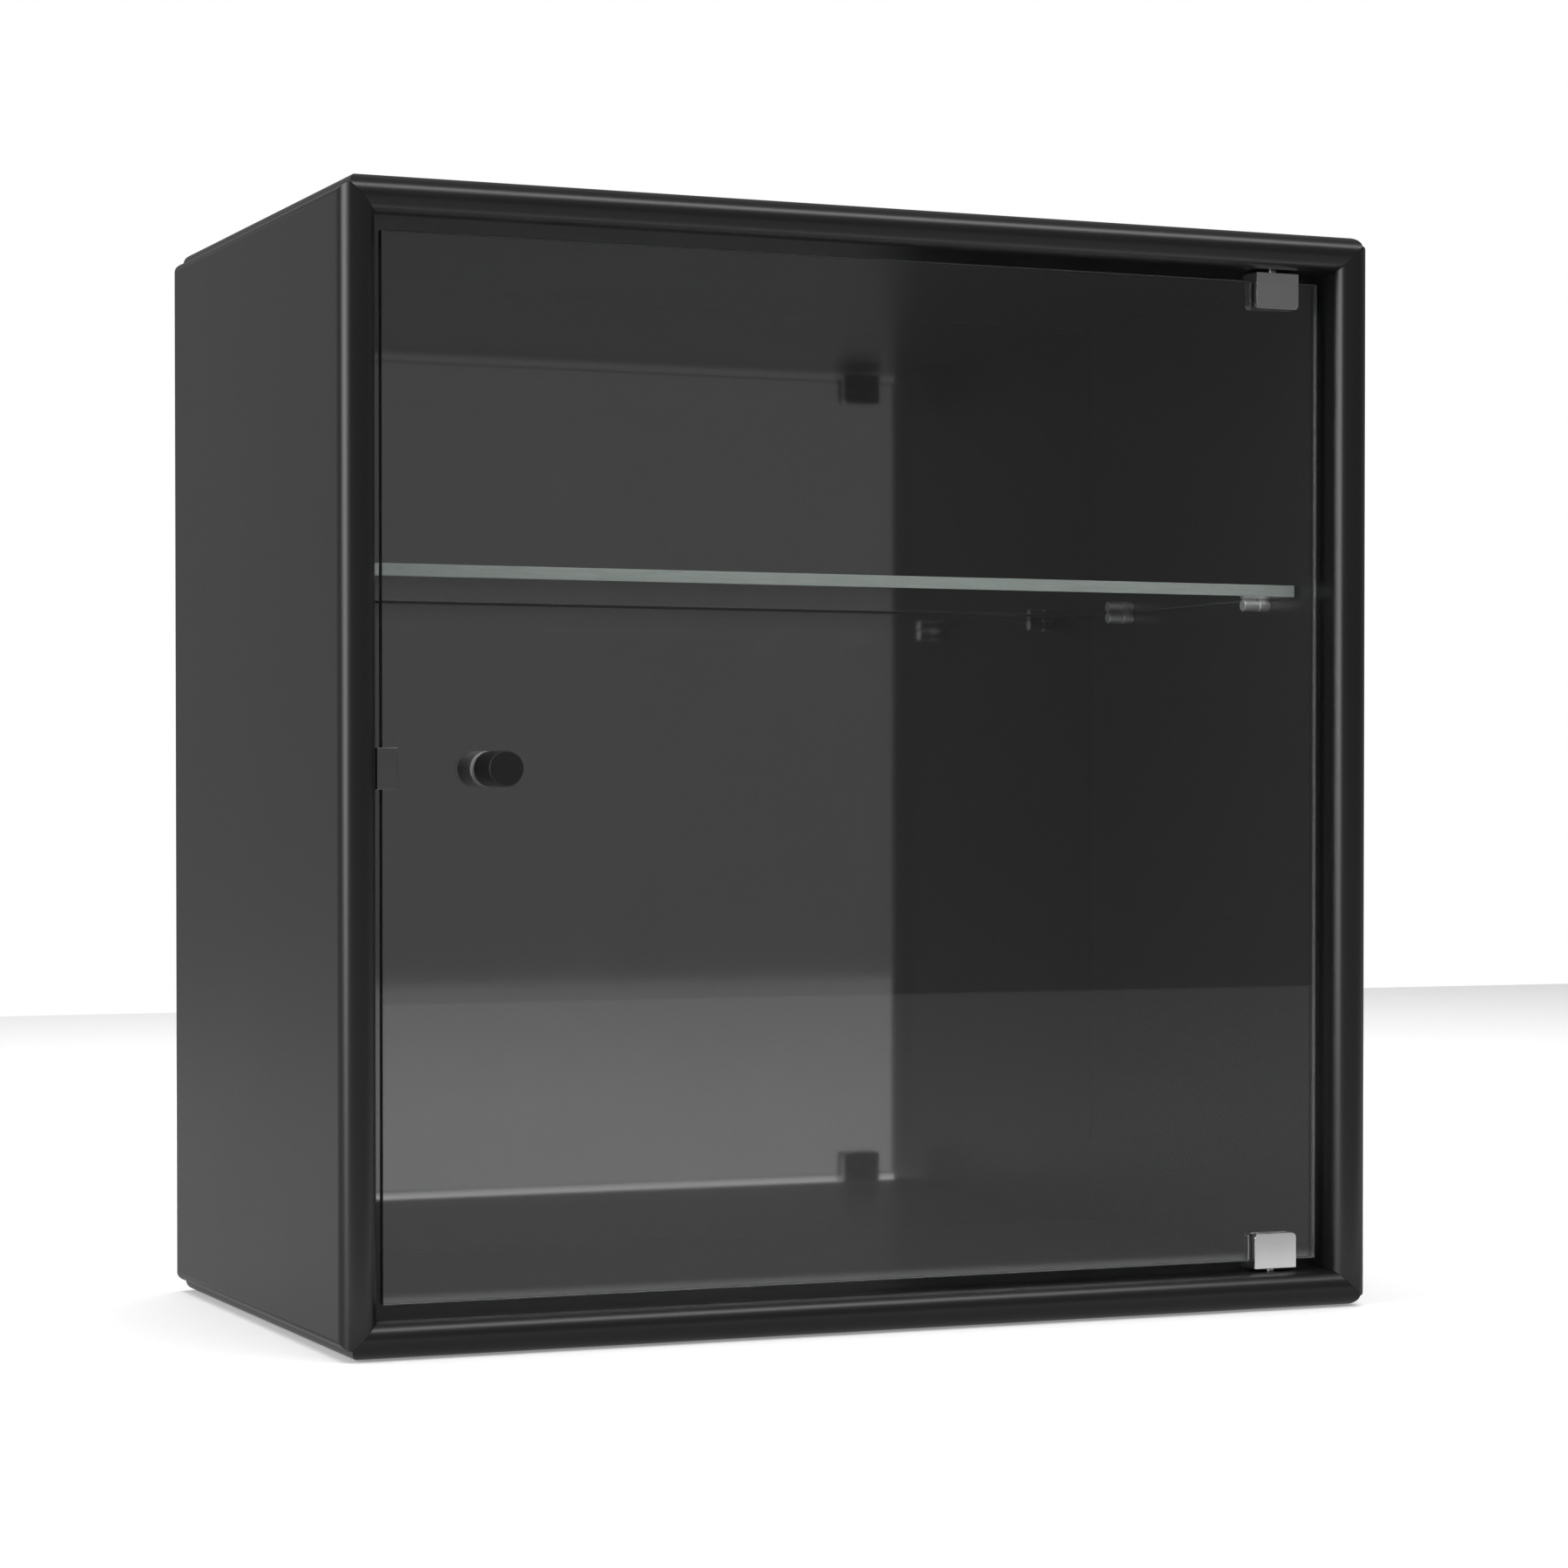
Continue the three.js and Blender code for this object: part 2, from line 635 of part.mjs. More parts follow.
// ---------------------------------------------------------------- magnetic catch
function magneticCatch() {
  const halfX = magnetSize.x / 2;
  const halfZ = magnetSize.z / 2;
  const low = middle - catchHeight / 2;
  const high = middle + catchHeight / 2;
  const poleBack = catchFront + magnetSize.y;
  const outside = halfZ + poleThickness;
  const pocket = block(
    [catchCentreX - halfX - fitClearance, catchFront - cutPast, middle - outside - fitClearance],
    [catchCentreX + halfX + fitClearance, poleBack + fitClearance, middle + outside + fitClearance],
  );
  const screwHeadPlace = -sideInner + catchWidth;
  const shankHole = woodScrewRadius + fitClearance;
  const headHole = woodScrewHeadRadius + fitClearance;
  const holes = catchScrewPlaces.flatMap(({ y, z }) => [
    bar('x', shankHole, -sideInner - cutPast, screwHeadPlace + cutPast, { y, z }, boreSides),
    bar('x', headHole, catchScrewSeat, screwHeadPlace + cutPast, { y, z }, smallSides),
  ]);
  const body = cut(
    solid(block([-sideInner, catchFront, low], [screwHeadPlace, catchBack, high])),
    pocket,
    ...holes,
  );
  const magnet = block(
    [catchCentreX - halfX, catchFront, middle - halfZ],
    [catchCentreX + halfX, poleBack, middle + halfZ],
  );
  const pole = (hand) => block(
    [catchCentreX - halfX, poleFront, middle + (hand > 0 ? halfZ : -outside)],
    [catchCentreX + halfX, poleBack, middle + (hand > 0 ? outside : -halfZ)],
  );
  const [lowerScrew, upperScrew] = catchScrewPlaces;
  const screwTop = catchScrewSeat + woodScrewHeadHeight;
  return [
    node('catch_body', body, finish.nylon),
    node('catch_magnet', solid(magnet), finish.ferrite),
    node('catch_pole_upper', solid(pole(1)), finish.steel),
    node('catch_pole_lower', solid(pole(-1)), finish.steel),
    woodScrew('catch_screw_upper', -1, screwTop, upperScrew.y, upperScrew.z),
    woodScrew('catch_screw_lower', -1, screwTop, lowerScrew.y, lowerScrew.z),
  ];
}

// ---------------------------------------------------------------- wall hanging brackets
// An angle bracket: one leg on the side board, the other one level with the rear edges, with a
// keyhole that drops over a wall screw.
function hangingBracket(hand, side) {
  const low = bracketTop - bracketHeight;
  const [legLow, legHigh] = span(side * sideInner, side * (sideInner - bracketThickness));
  const [plateLow, plateHigh] = span(side * sideInner, side * (sideInner - bracketWidth));
  const plateFront = rear - bracketThickness;
  const leg = solid(block([legLow, backRear + bracketBackGap, low], [legHigh, rear, bracketTop]));
  const plate = solid(block([plateLow, plateFront, low], [plateHigh, rear, bracketTop]));
  const keyX = side * (sideInner - bracketWidth / 2);
  const keyZ = bracketMiddle - keyslotRise / 2;
  const [cutFront, cutRear] = [plateFront - cutPast, rear + cutPast];
  const keyhole = bar('y', keyholeRadius, cutFront, cutRear, { x: keyX, z: keyZ });
  const slotEnd = { x: keyX, z: keyZ + keyslotRise };
  const keyslotTop = bar('y', keyslotRadius, cutFront, cutRear, slotEnd);
  const keyslot = block(
    [keyX - keyslotRadius, cutFront, keyZ],
    [keyX + keyslotRadius, cutRear, keyZ + keyslotRise],
  );
  const headTop = side * (sideInner - bracketThickness);
  const shankHole = woodScrewRadius + fitClearance;
  const headHole = woodScrewHeadRadius + fitClearance;
  const holes = bracketScrewPlaces.map(({ y, z }) => {
    const [from, to] = span(side * (sideInner + cutPast), headTop - side * cutPast);
    return bar('x', shankHole, from, to, { y, z }, boreSides);
  });
  const seats = bracketScrewPlaces.map(({ y, z }) => {
    const profile = [
      [0, -cutPast],
      [headHole, -cutPast],
      [headHole, woodScrewHeadRim],
      [shankHole, woodScrewHeadHeight + fitClearance],
      [0, woodScrewHeadHeight + fitClearance],
    ];
    const turn = side < 0 ? pointing.left : pointing.right;
    return turned(profile, turn, [headTop, y, z], smallSides);
  });
  const bracket = cut(leg.add(plate), keyhole, keyslotTop, keyslot, ...holes, ...seats);
  const [lower, upper] = bracketScrewPlaces;
  return [
    node(`hanging_bracket_${hand}`, bracket, finish.steel),
    woodScrew(`bracket_screw_${hand}_upper`, side, headTop, upper.y, upper.z),
    woodScrew(`bracket_screw_${hand}_lower`, side, headTop, lower.y, lower.z),
  ];
}

// ---------------------------------------------------------------- assembly
const cabinetBody = new THREE.Group();
cabinetBody.name = 'cabinet_body';
cabinetBody.add(
  ...carcase(),
  ...shelf(),
  ...magneticCatch(),
  ...hangingBracket('left', -1),
  ...hangingBracket('right', 1),
);

const door = new THREE.Group();
door.name = 'door';
door.add(doorGlass(), ...knob(), ...strikeClip());
for (const piece of [...hinge('upper', 1), ...hinge('lower', -1)]) {
  (piece.name.endsWith('bush') ? cabinetBody : door).add(piece);
}

const displayCabinet = new THREE.Group();
displayCabinet.name = 'display_cabinet';
displayCabinet.add(cabinetBody, door);

export default displayCabinet;
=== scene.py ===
import math

import bpy
from mathutils import Matrix, Vector


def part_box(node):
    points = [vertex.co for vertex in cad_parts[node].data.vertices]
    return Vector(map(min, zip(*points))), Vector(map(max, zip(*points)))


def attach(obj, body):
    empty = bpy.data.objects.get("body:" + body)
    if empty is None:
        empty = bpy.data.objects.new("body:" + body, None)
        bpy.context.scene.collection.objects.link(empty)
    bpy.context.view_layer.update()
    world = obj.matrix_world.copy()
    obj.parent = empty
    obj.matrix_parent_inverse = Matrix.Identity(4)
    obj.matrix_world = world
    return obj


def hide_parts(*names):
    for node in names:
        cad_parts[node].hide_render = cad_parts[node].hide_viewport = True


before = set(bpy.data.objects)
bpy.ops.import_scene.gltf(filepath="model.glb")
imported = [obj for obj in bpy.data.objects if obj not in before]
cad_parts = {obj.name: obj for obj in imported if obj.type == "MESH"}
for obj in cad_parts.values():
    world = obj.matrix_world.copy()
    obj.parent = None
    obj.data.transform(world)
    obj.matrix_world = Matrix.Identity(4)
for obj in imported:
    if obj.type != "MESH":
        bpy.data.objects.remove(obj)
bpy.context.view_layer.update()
mm = 0.001
near = 1e-6  # places closer than this count as the same
print("frame loaded:", len(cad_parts), "nodes")


def clearSelection():
    if bpy.context.object and bpy.context.object.mode != "OBJECT":
        bpy.ops.object.mode_set(mode="OBJECT")
    bpy.ops.object.select_all(action="DESELECT")


def activate(obj):
    clearSelection()
    obj.select_set(True)
    bpy.context.view_layer.objects.active = obj


def settle(name):  # the new primitive's place, turn and size go into its mesh
    obj = bpy.context.object
    obj.name = obj.data.name = name
    bpy.ops.object.transform_apply(location=True, rotation=True, scale=True)
    return obj


def addBlock(name, low, high, turn=(0, 0, 0)):
    clearSelection()
    low, high = Vector(low), Vector(high)
    bpy.ops.mesh.primitive_cube_add(size=1, location=(low + high) / 2, rotation=turn, scale=high - low)
    return settle(name)


def addRod(name, start, end, radius, sides=64):
    clearSelection()
    start, end = Vector(start), Vector(end)
    axis = end - start
    bpy.ops.mesh.primitive_cylinder_add(
        vertices=sides,
        radius=radius,
        depth=axis.length,
        location=(start + end) / 2,
        rotation=axis.to_track_quat("Z", "Y").to_euler(),
    )
    return settle(name)


def bevelEdges(obj, width, steps, test):  # rounds the edges whose two ends pass the test
    activate(obj)
    mesh = obj.data
    for group in (mesh.vertices, mesh.edges, mesh.polygons):
        group.foreach_set("select", [False] * len(group))
    for edge in mesh.edges:
        edge.select = test(*(mesh.vertices[i].co for i in edge.vertices))
    bpy.context.tool_settings.mesh_select_mode = (False, True, False)
    bpy.ops.object.mode_set(mode="EDIT")
    bpy.ops.mesh.bevel(offset_type="OFFSET", offset=width, segments=steps, profile=0.5, affect="EDGES")
    clearSelection()


def turnPiece(name, start, axis, profile, sides=64):  # profile: (distance along the axis, radius) steps
    clearSelection()
    start, axis = Vector(start), Vector(axis).normalized()
    bpy.ops.mesh.primitive_circle_add(
        vertices=sides,
        radius=profile[0][1],
        fill_type="NGON",
        location=start + axis * profile[0][0],
        rotation=axis.to_track_quat("Z", "Y").to_euler(),
    )
    obj = settle(name)
    bpy.context.tool_settings.mesh_select_mode = (False, False, True)
    bpy.ops.object.mode_set(mode="EDIT")
    bpy.ops.mesh.select_all(action="SELECT")
    for (d0, r0), (d1, r1) in zip(profile, profile[1:]):
        bpy.ops.mesh.extrude_region_move(TRANSFORM_OT_translate={"value": axis * (d1 - d0)})
        if r1 != r0:
            bpy.ops.transform.resize(value=(r1 / r0,) * 3, center_override=start + axis * d1)
    bpy.ops.mesh.select_all(action="SELECT")
    bpy.ops.mesh.remove_doubles(threshold=near)
    bpy.ops.mesh.normals_make_consistent(inside=False)
    clearSelection()
    return obj


def applyModifier(obj, kind, **settings):
    activate(obj)
    modifier = obj.modifiers.new(kind.lower(), kind)
    for key, value in settings.items():
        setattr(modifier, key, value)
    bpy.ops.object.modifier_apply(modifier=modifier.name)


def combine(obj, *tools, operation="DIFFERENCE"):
    for tool in tools:
        applyModifier(obj, "BOOLEAN", operation=operation, object=tool, solver="EXACT")
        bpy.data.objects.remove(tool)
    return obj


def soften(obj, width, steps=3, angle=30):  # small rounds on every sharp edge
    applyModifier(
        obj,
        "BEVEL",
        width=width,
        segments=steps,
        limit_method="ANGLE",
        angle_limit=math.radians(angle),
        use_clamp_overlap=True,
    )


def smooth(obj, angle=35):
    activate(obj)
    bpy.ops.object.shade_smooth_by_angle(angle=math.radians(angle))
    applyModifier(obj, "WEIGHTED_NORMAL", keep_sharp=True)


def copyPiece(obj, name, move, turn):
    made = obj.copy()
    made.data = obj.data.copy()
    made.name = made.data.name = name
    bpy.context.scene.collection.objects.link(made)
    made.data.transform(turn)
    made.data.transform(Matrix.Translation(move))
    return made


def dress(obj, body, slotName, *looks):
    for look in looks:
        obj.data.materials.append(look)
    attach(obj, body)
    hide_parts(obj.name.removesuffix("Fine"))
    return obj


class Wire:
    def __init__(self, tree, socket=None):
        self.tree = tree
        self.socket = socket

    def node(self, kind, settings, values, out=0):
        made = self.tree.nodes.new("ShaderNode" + kind)
        for key, value in settings.items():
            setattr(made, key, value)
        for key, value in values.items():
            if isinstance(value, Wire):
                self.tree.links.new(value.socket, made.inputs[key])
            else:
                made.inputs[key].default_value = value
        return Wire(self.tree, made.outputs[out] if made.outputs else None)

    def maths(self, operation, a, b):
        return self.node("Math", {"operation": operation}, {0: a, 1: b})

    def __add__(self, other):
        return self.maths("ADD", self, other)

    def __radd__(self, other):
        return self.maths("ADD", other, self)

    def __sub__(self, other):
        return self.maths("SUBTRACT", self, other)

    def __rsub__(self, other):
        return self.maths("SUBTRACT", other, self)

    def __mul__(self, other):
        return self.maths("MULTIPLY", self, other)

    def __rmul__(self, other):
        return self.maths("MULTIPLY", other, self)


def place(wire, scale=(1, 1, 1)):
    spot = wire.node("TexCoord", {}, {}, "Object")
    return wire.node("Mapping", {}, {"Vector": spot, "Scale": scale})


def noise(wire, spot, scale, detail=2.0, roughness=0.5):
    return wire.node("TexNoise", {}, {
        "Vector": spot,
        "Scale": scale,
        "Detail": detail,
        "Roughness": roughness,
    })


def tint(wire, factor, dark, light):
    return wire.node("Mix", {"data_type": "RGBA"}, {0: factor, 6: (*dark, 1), 7: (*light, 1)}, 2)


def bump(wire, height, distance):
    return wire.node("Bump", {}, {"Height": height, "Distance": distance, "Strength": 1.0})


def vary(middle, cloud, spread):  # the noise moves a value about its middle
    return middle + (cloud - 0.5) * spread


def material(name, build):
    made = bpy.data.materials.new(name)
    made.use_nodes = True
    made.node_tree.nodes.clear()
    wire = Wire(made.node_tree)
    wire.node("OutputMaterial", {}, {"Surface": build(wire)})
    return made


def gray(value):
    return (value, value, value)


lacquer = {
    "dark": (0.0076, 0.0077, 0.0079),
    "light": (0.0094, 0.0095, 0.0097),
    "cloudSize": 9,  # sizes are waves per metre and depths are metres
    "roughness": 0.31,
    "roughnessSpread": 0.05,
    "peelSize": 420,
    "peelDepth": 0.0000012,
    "grainSize": 5200,
    "grainDepth": 0.0000008,
}


def lacquerSurface(wire):
    spot = place(wire)
    cloud = noise(wire, spot, lacquer["cloudSize"], detail=3)
    peel = noise(wire, spot, lacquer["peelSize"], detail=2)
    grain = noise(wire, spot, lacquer["grainSize"], detail=1)
    relief = peel * lacquer["peelDepth"] + grain * lacquer["grainDepth"]
    return wire.node("BsdfPrincipled", {}, {
        "Base Color": tint(wire, cloud, lacquer["dark"], lacquer["light"]),
        "Roughness": vary(lacquer["roughness"], cloud, lacquer["roughnessSpread"]),
        "Normal": bump(wire, relief, distance=1.0),
    })


mirrorBack = {
    "dark": gray(0.262),
    "light": gray(0.285),
    "cloudSize": 14,
    "roughness": 0.045,
    "roughnessSpread": 0.03,
}


def mirrorSurface(wire):
    cloud = noise(wire, place(wire), mirrorBack["cloudSize"], detail=4, roughness=0.6)
    return wire.node("BsdfPrincipled", {}, {
        "Base Color": tint(wire, cloud, mirrorBack["dark"], mirrorBack["light"]),
        "Metallic": 1.0,
        "Roughness": vary(mirrorBack["roughness"], cloud, mirrorBack["roughnessSpread"]),
    })


boardRear = {
    "dark": gray(0.016),
    "light": gray(0.034),
    "cloudSize": 24,
    "fibreScale": (900, 900, 2600),
    "fibreShare": 0.4,
    "fibreDepth": 0.00004,
    "roughness": 0.62,
    "roughnessSpread": 0.25,
}


def boardRearSurface(wire):  # the painted fibreboard side that faces the wall
    fibre = noise(wire, place(wire, boardRear["fibreScale"]), 1, detail=4, roughness=0.65)
    cloud = noise(wire, place(wire), boardRear["cloudSize"], detail=4)
    share = boardRear["fibreShare"]
    return wire.node("BsdfPrincipled", {}, {
        "Base Color": tint(wire, cloud * (1 - share) + fibre * share, boardRear["dark"], boardRear["light"]),
        "Roughness": vary(boardRear["roughness"], fibre, boardRear["roughnessSpread"]),
        "Normal": bump(wire, fibre, boardRear["fibreDepth"]),
    })


plywood = {
    "dark": (0.24, 0.13, 0.055),
    "light": (0.56, 0.37, 0.19),
    "grainScale": (160, 22, 160),
    "grainDepth": 0.00008,
    "plySize": 130,
    "plyWaver": 0.6,
    "plyShare": 0.4,
    "roughness": 0.7,
    "roughnessSpread": 0.2,
}


def plywoodSurface(wire):
    grain = noise(wire, place(wire, plywood["grainScale"]), 1, detail=5, roughness=0.6)
    plies = wire.node("TexWave", {"bands_direction": "DIAGONAL"}, {
        "Vector": place(wire), "Scale": plywood["plySize"], "Distortion": plywood["plyWaver"], "Detail": 2,
    }, 1)
    share = plywood["plyShare"]
    return wire.node("BsdfPrincipled", {}, {
        "Base Color": tint(wire, grain * (1 - share) + plies * share, plywood["dark"], plywood["light"]),
        "Roughness": vary(plywood["roughness"], grain, plywood["roughnessSpread"]),
        "Normal": bump(wire, grain, plywood["grainDepth"]),
    })


glass = {
    "tint": (0.985, 0.990, 0.987),
    "ior": 1.5,
    "specular": 0.2,  # the panes reflect little
    "roughness": 0.004,
    "smearSize": 22,
    "smearRoughness": 0.006,
    # the shelf edge's greenish tone is the glass's own; its lightness is painted light, the glow of light
    # carried through the pane
    "shelfEdge": ((0.34, 0.39, 0.365), (0.50, 0.555, 0.53)),
    "doorEdge": ((0.07, 0.078, 0.075), (0.11, 0.12, 0.116)),
    "edgeTransmission": 0.35,
    "edgeRoughness": 0.24,
    "edgeRoughnessSpread": 0.12,
    "streakScale": (60, 900, 900),
    "grindSize": 3500,
    "grindDepth": 0.000006,
}


def clearGlassSurface(wire):  # lamps reach what is behind the pane
    smear = noise(wire, place(wire), glass["smearSize"], detail=3, roughness=0.6)
    pane = wire.node("BsdfPrincipled", {}, {
        "Base Color": (*glass["tint"], 1),
        "Roughness": glass["roughness"] + smear * glass["smearRoughness"],
        "IOR": glass["ior"],
        "Specular IOR Level": glass["specular"],
        "Transmission Weight": 1.0,
    })
    through = wire.node("BsdfTransparent", {}, {"Color": (*glass["tint"], 1)})
    shadowRay = wire.node("LightPath", {}, {}, "Is Shadow Ray")
    return wire.node("MixShader", {}, {0: shadowRay, 1: pane, 2: through})


def glassEdge(dark, light):
    def surface(wire):
        streak = noise(wire, place(wire, glass["streakScale"]), 1, detail=3, roughness=0.6)
        grind = noise(wire, place(wire), glass["grindSize"], detail=2)
        return wire.node("BsdfPrincipled", {}, {
            "Base Color": tint(wire, streak, dark, light),
            "Roughness": vary(glass["edgeRoughness"], grind, glass["edgeRoughnessSpread"]),
            "IOR": glass["ior"],
            "Transmission Weight": glass["edgeTransmission"],
            "Normal": bump(wire, grind, glass["grindDepth"]),
        })
    return surface


metal = {"cloudSize": 60, "roughnessSpread": 0.08, "scratchDepth": 0.0000015}


def brushedMetal(dark, light, roughness, stretch):
    def surface(wire):
        scratch = noise(wire, place(wire, stretch), 1, detail=4, roughness=0.65)
        cloud = noise(wire, place(wire), metal["cloudSize"], detail=2)
        return wire.node("BsdfPrincipled", {}, {
            "Base Color": tint(wire, cloud, dark, light),
            "Metallic": 1.0,
            "Roughness": vary(roughness, scratch, metal["roughnessSpread"]),
            "Normal": bump(wire, scratch, metal["scratchDepth"]),
        })
    return surface


coat = {"cloudSize": 90, "grainSize": 4200, "roughnessSpread": 0.1, "fineGrain": 0.000004}


def satinCoat(dark, light, roughness, depth):
    def surface(wire):
        spot = place(wire)
        grain = noise(wire, spot, coat["grainSize"], detail=2)
        cloud = noise(wire, spot, coat["cloudSize"], detail=3)
        return wire.node("BsdfPrincipled", {}, {
            "Base Color": tint(wire, cloud, dark, light),
            "Roughness": vary(roughness, grain, coat["roughnessSpread"]),
            "Normal": bump(wire, grain, depth),
        })
    return surface


even, horizontal, alongY = (900, 900, 900), (300, 300, 5000), (3000, 300, 3000)  # how scratches run
metals = {  # name, dark, light, roughness, stretch
    "nickel": ("satinNickel", gray(0.53), (0.62, 0.63, 0.62), 0.22, horizontal),
    "pin": ("tumbledNickel", gray(0.80), gray(0.90), 0.5, even),
    "cap": ("satinCap", gray(0.42), gray(0.48), 0.55, alongY),
    "clip": ("darkenedSteel", gray(0.18), gray(0.22), 0.3, horizontal),
    "zinc": ("brightZinc", (0.50, 0.51, 0.54), (0.62, 0.63, 0.65), 0.28, even),
}
coats = {  # name, dark, light, roughness, depth of the grain
    "anthracite": ("anthraciteCoat", gray(0.003), gray(0.005), 0.45, coat["fineGrain"]),
    "nylon": ("blackNylon", gray(0.014), gray(0.022), 0.55, 0.000012),
    "liner": ("softVinyl", gray(0.05), gray(0.075), 0.5, 0.00001),
    "ferrite": ("sinteredFerrite", (0.035, 0.031, 0.03), (0.065, 0.058, 0.055), 0.7, 0.00003),
}
looks = {
    "lacquer": material("blackLacquer", lacquerSurface),
    "mirror": material("darkMirrorFacing", mirrorSurface),
    "boardRear": material("fibreboardRear", boardRearSurface),
    "plywood": material("birchPlywood", plywoodSurface),
    "glass": material("clearGlass", clearGlassSurface),
    # painted light: the shelf edge's light tone stands in for light carried through the glass
    "shelfEdge": material("polishedShelfEdgePaintedGlow", glassEdge(*glass["shelfEdge"])),
    "doorEdge": material("groundDoorEdge", glassEdge(*glass["doorEdge"])),
}
for look, (name, *values) in metals.items():
    looks[look] = material(name, brushedMetal(*values))
for look, (name, *values) in coats.items():
    looks[look] = material(name, satinCoat(*values))
print("materials made:", len(looks))

topLow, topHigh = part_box("top_panel")
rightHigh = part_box("right_side_panel")[1]
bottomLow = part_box("bottom_panel")[0]
backLow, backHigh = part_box("back_panel")

carcase = {
    "thickness": topHigh.z - topLow.z,
    "left": -rightHigh.x,
    "right": rightHigh.x,
    "front": topLow.y,
    "rear": topHigh.y,
    "top": topHigh.z,
    "cornerRound": 4 * mm,
    "cornerSteps": 12,
    "noseSteps": 14,
    "noseFlat": 0.004 * mm,  # each of the nose's two rounds stops this short of its middle
    "glue": 0.1 * mm / math.sqrt(2),
    "grooveDepth": 6 * mm,
    "grooveRoom": 0.15 * mm,
    "rearEdgeRound": 0.4 * mm,
    "rearEdgeSteps": 3,
    "boreRoom": 0.15 * mm,
}
carcase["sideInner"] = carcase["right"] - carcase["thickness"]


def board(name, length):  # lies as the top does: outer face at z = 0, length along X
    c = carcase
    half = length / 2
    end = half - c["cornerRound"] - c["glue"]
    plate = addBlock(name, (-end, c["front"], -c["thickness"]), (end, c["rear"], 0))
    bevelEdges(plate, c["cornerRound"], c["cornerSteps"], lambda a, b: (
        abs(a.x - b.x) < near and min(a.z, b.z) > -near
    ))
    nosed = addBlock("nose", (-half, c["front"], -c["thickness"]), (half, c["rear"], 0))
    bevelEdges(nosed, c["thickness"] / 2 - c["noseFlat"], c["noseSteps"], lambda a, b: (
        abs(a.x - b.x) > mm and max(a.y, b.y) < c["front"] + near
    ))
    bevelEdges(nosed, c["rearEdgeRound"], c["rearEdgeSteps"], lambda a, b: (
        abs(a.x - b.x) > mm and min(a.y, b.y) > c["rear"] - near
    ))
    combine(plate, nosed, operation="INTERSECT")
    for side in (-1, 1):  # mitres, half a glue line short of the corner's plane
        activate(plate)
        bpy.ops.object.mode_set(mode="EDIT")
        bpy.ops.mesh.select_all(action="SELECT")
        bpy.ops.mesh.bisect(
            plane_co=(side * (end + c["cornerRound"] - c["thickness"]), 0, -c["thickness"]),
            plane_no=(side, 0, -1),
            use_fill=True,
            clear_outer=True,
        )
        clearSelection()
    groove = addBlock(
        "groove",
        (-half, backLow.y - c["grooveRoom"], -c["thickness"] - c["grooveDepth"]),
        (half, backHigh.y + c["grooveRoom"], -c["thickness"] + c["grooveDepth"]),
    )
    return combine(plate, groove)


bottomWide = board("boardLying", carcase["right"] - carcase["left"])
sideTall = board("boardStanding", carcase["top"])
half = carcase["top"] / 2


def pinBores(side):
    bores = []
    for node in [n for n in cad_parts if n.startswith("shelf_pin") and n.endswith(side)]:
        low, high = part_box(node)
        y, z = (low.y + high.y) / 2, (low.z + high.z) / 2
        radius = (high.z - low.z) / 2 + carcase["boreRoom"]
        bores.append(addRod("bore", (low.x - mm, y, z), (high.x + mm, y, z), radius, 48))
    return bores


def bushBore(node):
    low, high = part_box(node)
    x, y = (low.x + high.x) / 2, (low.y + high.y) / 2
    room = carcase["boreRoom"]
    return addRod("bore", (x, y, low.z - room), (x, y, high.z + room), (high.x - low.x) / 2 + room)


screwHoles = {"shank": 1.65 * mm, "head": 2.95 * mm}  # radii


def screwBores(*words):
    bores = []
    for node in [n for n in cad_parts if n.startswith(words)]:
        low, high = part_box(node)
        y, z = (low.y + high.y) / 2, (low.z + high.z) / 2
        bores.append(addRod("bore", (low.x - mm / 2, y, z), (high.x + mm / 2, y, z), screwHoles["shank"], 24))
    return bores


splines = {"halfWidth": 4 * mm, "halfThickness": 1.5 * mm, "room": 0.3 * mm}


def splineSlots(*corners):
    slots = []
    room = splines["room"]
    for corner in corners:
        low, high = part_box("mitre_spline_" + corner)
        centre = (low + high) / 2
        halfSize = Vector((
            splines["halfWidth"] + room, (high.y - low.y) / 2 + room, splines["halfThickness"] + room,
        ))
        across = 1 if corner in ("top_right", "bottom_left") else -1
        slots.append(addBlock("slot", centre - halfSize, centre + halfSize, (0, across * math.pi / 4, 0)))
    return slots


def placeBoard(source, name, turn, move, cutters):
    made = copyPiece(source, name, move, turn)
    combine(made, *cutters)
    smooth(made, 30)
    return dress(made, "cabinet", "lacquered_board", looks["lacquer"])


def quarter(turns):
    return Matrix.Rotation(turns * math.pi / 2, 4, "Y")


placeBoard(bottomWide, "top_panelFine", quarter(0), (0, 0, carcase["top"]), [
    bushBore("upper_pivot_bush"), *splineSlots("top_left", "top_right"),
])
placeBoard(bottomWide, "bottom_panelFine", quarter(2), (0, 0, bottomLow.z), [
    bushBore("lower_pivot_bush"), *splineSlots("bottom_left", "bottom_right"),
])
placeBoard(sideTall, "right_side_panelFine", quarter(1), (carcase["right"], 0, half), [
    *pinBores("right"), *screwBores("bracket_screw_right"), *splineSlots("top_right", "bottom_right"),
])
placeBoard(sideTall, "left_side_panelFine", quarter(-1), (carcase["left"], 0, half), [
    *pinBores("left"), *screwBores("bracket_screw_left", "catch_screw"),
    *splineSlots("top_left", "bottom_left"),
])
bpy.data.objects.remove(bottomWide)
bpy.data.objects.remove(sideTall)


backEdge = {"round": 0.3 * mm, "steps": 2}


def backPanel():  # a dark mirror-gloss facing on a painted board
    panel = addBlock("back_panelFine", backLow, backHigh)
    soften(panel, backEdge["round"], backEdge["steps"])
    smooth(panel)
    dress(panel, "cabinet", "back_board", looks["boardRear"], looks["mirror"])
    for face in panel.data.polygons:
        if face.normal.y < -0.9:  # the side towards the door
            face.material_index = 1


backPanel()
print("carcase made")

